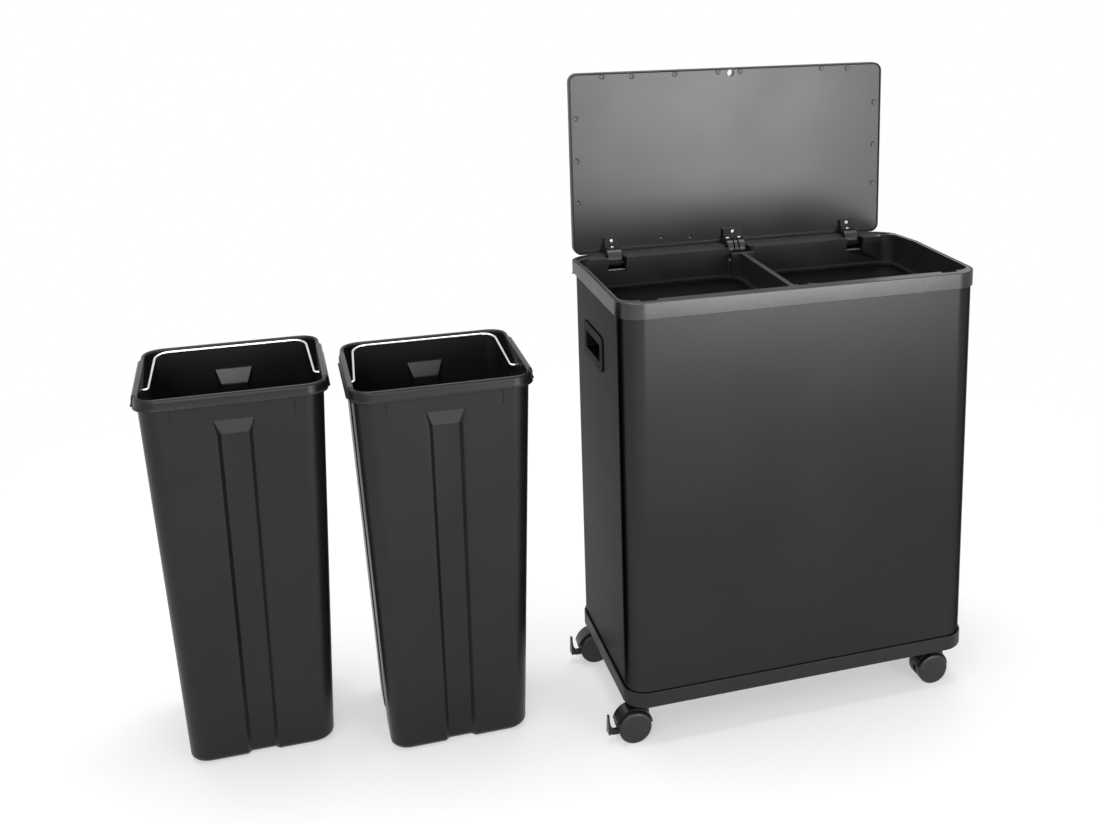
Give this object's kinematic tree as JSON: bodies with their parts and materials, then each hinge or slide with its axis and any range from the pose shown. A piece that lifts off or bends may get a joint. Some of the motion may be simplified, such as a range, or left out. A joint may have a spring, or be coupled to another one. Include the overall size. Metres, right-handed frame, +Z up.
{
  "type": "double recycling bin",
  "caption": "Wide steel recycling bin on casters with an upright open lid, a divided interior and tapered lift-out buckets with wire bails.",
  "frame": {"origin": "centre of the whole set on the floor: cabinet to the right, buckets standing beside it to the left", "axes": "+X to the right along the cabinet front, +Y to the rear, +Z up"},
  "size_m": [1.256, 0.42, 1.0094],
  "materials": {
    "shell_steel": "fine brushed dark grey steel, satin",
    "collar_steel": "brushed grey steel, a shade lighter than the shell",
    "frame_plastic": "black moulded plastic, lightly textured",
    "base_plastic": "black moulded plastic",
    "grip_steel": "dark grey, satin",
    "lid_outer": "black moulded plastic",
    "lid_liner": "dark grey plastic sheet with a soft sheen",
    "hinge_plastic": "black moulded plastic",
    "bright_steel": "bright drawn steel",
    "caster_plastic": "black plastic, slight gloss",
    "wheel_plastic": "dark grey wheel",
    "bucket_plastic": "black bucket plastic, soft sheen"
  },
  "bodies": {
    "cabinet": {"base_tray": "base_plastic", "steel_shell": "shell_steel", "top_collar": "collar_steel", "inner_frame": "frame_plastic", "side_grip_left": "grip_steel", "side_grip_right": "grip_steel", "hinge_pin_left": "bright_steel", "hinge_pin_centre": "bright_steel", "hinge_pin_right": "bright_steel", "caster_front_left_stem": "bright_steel", "caster_rear_left_stem": "bright_steel", "caster_front_right_stem": "bright_steel", "caster_rear_right_stem": "bright_steel"},
    "lid": {"lid_panel": "lid_outer", "lid_liner": "lid_liner", "hinge_leaf_left": "hinge_plastic", "hinge_leaf_centre": "hinge_plastic", "hinge_leaf_right": "hinge_plastic", "hinge_spring_leaf": "hinge_plastic", "lid_screw_left_upper": "bright_steel", "lid_screw_left_lower": "bright_steel", "lid_screw_centre_upper": "bright_steel", "lid_screw_right_upper": "bright_steel", "lid_screw_right_lower": "bright_steel", "lid_screw_centre_lower_left": "bright_steel", "lid_screw_centre_lower_right": "bright_steel"},
    "caster_front_left": {"caster_front_left_yoke": "caster_plastic", "caster_front_left_axle": "bright_steel"},
    "caster_front_left_wheel_outer": {"caster_front_left_wheel_outer": "wheel_plastic"},
    "caster_front_left_wheel_inner": {"caster_front_left_wheel_inner": "wheel_plastic"},
    "caster_front_left_brake_lever": {"caster_front_left_brake_lever": "caster_plastic"},
    "caster_rear_left": {"caster_rear_left_yoke": "caster_plastic", "caster_rear_left_axle": "bright_steel"},
    "caster_rear_left_wheel_outer": {"caster_rear_left_wheel_outer": "wheel_plastic"},
    "caster_rear_left_wheel_inner": {"caster_rear_left_wheel_inner": "wheel_plastic"},
    "caster_rear_left_brake_lever": {"caster_rear_left_brake_lever": "caster_plastic"},
    "caster_front_right": {"caster_front_right_yoke": "caster_plastic", "caster_front_right_axle": "bright_steel"},
    "caster_front_right_wheel_outer": {"caster_front_right_wheel_outer": "wheel_plastic"},
    "caster_front_right_wheel_inner": {"caster_front_right_wheel_inner": "wheel_plastic"},
    "caster_rear_right": {"caster_rear_right_yoke": "caster_plastic", "caster_rear_right_axle": "bright_steel"},
    "caster_rear_right_wheel_outer": {"caster_rear_right_wheel_outer": "wheel_plastic"},
    "caster_rear_right_wheel_inner": {"caster_rear_right_wheel_inner": "wheel_plastic"},
    "bucket_left": {"bucket_left": "bucket_plastic"},
    "bail_left": {"bail_left": "bright_steel"},
    "bucket_right": {"bucket_right": "bucket_plastic"},
    "bail_right": {"bail_right": "bright_steel"}
  },
  "joints": [
    {"name": "lid_hinge", "type": "hinge", "parent": "cabinet", "child": "lid", "pos_m": [0.3355, 0.1235, 0.6945], "axis": [1, 0, 0], "range_deg": [0, 90]},
    {"name": "caster_front_left_swivel", "type": "hinge", "parent": "cabinet", "child": "caster_front_left", "pos_m": [0.077, -0.175, 0.06], "axis": [0, 0, 1], "continuous": true},
    {"name": "caster_front_left_wheel_outer_spin", "type": "hinge", "parent": "caster_front_left", "child": "caster_front_left_wheel_outer", "pos_m": [0.057, -0.175, 0.026], "axis": [0, 1, 0], "continuous": true},
    {"name": "caster_front_left_wheel_inner_spin", "type": "hinge", "parent": "caster_front_left", "child": "caster_front_left_wheel_inner", "pos_m": [0.057, -0.175, 0.026], "axis": [0, 1, 0], "continuous": true},
    {"name": "caster_front_left_brake", "type": "hinge", "parent": "caster_front_left", "child": "caster_front_left_brake_lever", "pos_m": [0.043, -0.175, 0.016], "axis": [0, -1, 0], "range_deg": [0, 12]},
    {"name": "caster_rear_left_swivel", "type": "hinge", "parent": "cabinet", "child": "caster_rear_left", "pos_m": [0.077, 0.083, 0.06], "axis": [0, 0, 1], "continuous": true},
    {"name": "caster_rear_left_wheel_outer_spin", "type": "hinge", "parent": "caster_rear_left", "child": "caster_rear_left_wheel_outer", "pos_m": [0.057, 0.083, 0.026], "axis": [0, 1, 0], "continuous": true},
    {"name": "caster_rear_left_wheel_inner_spin", "type": "hinge", "parent": "caster_rear_left", "child": "caster_rear_left_wheel_inner", "pos_m": [0.057, 0.083, 0.026], "axis": [0, 1, 0], "continuous": true},
    {"name": "caster_rear_left_brake", "type": "hinge", "parent": "caster_rear_left", "child": "caster_rear_left_brake_lever", "pos_m": [0.043, 0.083, 0.016], "axis": [0, -1, 0], "range_deg": [0, 12]},
    {"name": "caster_front_right_swivel", "type": "hinge", "parent": "cabinet", "child": "caster_front_right", "pos_m": [0.594, -0.175, 0.06], "axis": [0, 0, 1], "continuous": true},
    {"name": "caster_front_right_wheel_outer_spin", "type": "hinge", "parent": "caster_front_right", "child": "caster_front_right_wheel_outer", "pos_m": [0.574, -0.175, 0.026], "axis": [0, 1, 0], "continuous": true},
    {"name": "caster_front_right_wheel_inner_spin", "type": "hinge", "parent": "caster_front_right", "child": "caster_front_right_wheel_inner", "pos_m": [0.574, -0.175, 0.026], "axis": [0, 1, 0], "continuous": true},
    {"name": "caster_rear_right_swivel", "type": "hinge", "parent": "cabinet", "child": "caster_rear_right", "pos_m": [0.594, 0.083, 0.06], "axis": [0, 0, 1], "continuous": true},
    {"name": "caster_rear_right_wheel_outer_spin", "type": "hinge", "parent": "caster_rear_right", "child": "caster_rear_right_wheel_outer", "pos_m": [0.574, 0.083, 0.026], "axis": [0, 1, 0], "continuous": true},
    {"name": "caster_rear_right_wheel_inner_spin", "type": "hinge", "parent": "caster_rear_right", "child": "caster_rear_right_wheel_inner", "pos_m": [0.574, 0.083, 0.026], "axis": [0, 1, 0], "continuous": true},
    {"name": "bucket_left_lift", "type": "slide", "parent": "cabinet", "child": "bucket_left", "axis": [0, 0, 1], "range_m": [0, 0.72]},
    {"name": "bail_left_swing", "type": "hinge", "parent": "bucket_left", "child": "bail_left", "pos_m": [-0.4905, 0.078, 0.572], "axis": [1, 0, 0], "range_deg": [0, 158]},
    {"name": "bucket_right_lift", "type": "slide", "parent": "cabinet", "child": "bucket_right", "axis": [0, 0, 1], "range_m": [0, 0.72]},
    {"name": "bail_right_swing", "type": "hinge", "parent": "bucket_right", "child": "bail_right", "pos_m": [-0.1985, 0.01, 0.572], "axis": [1, 0, 0], "range_deg": [0, 158]}
  ]
}
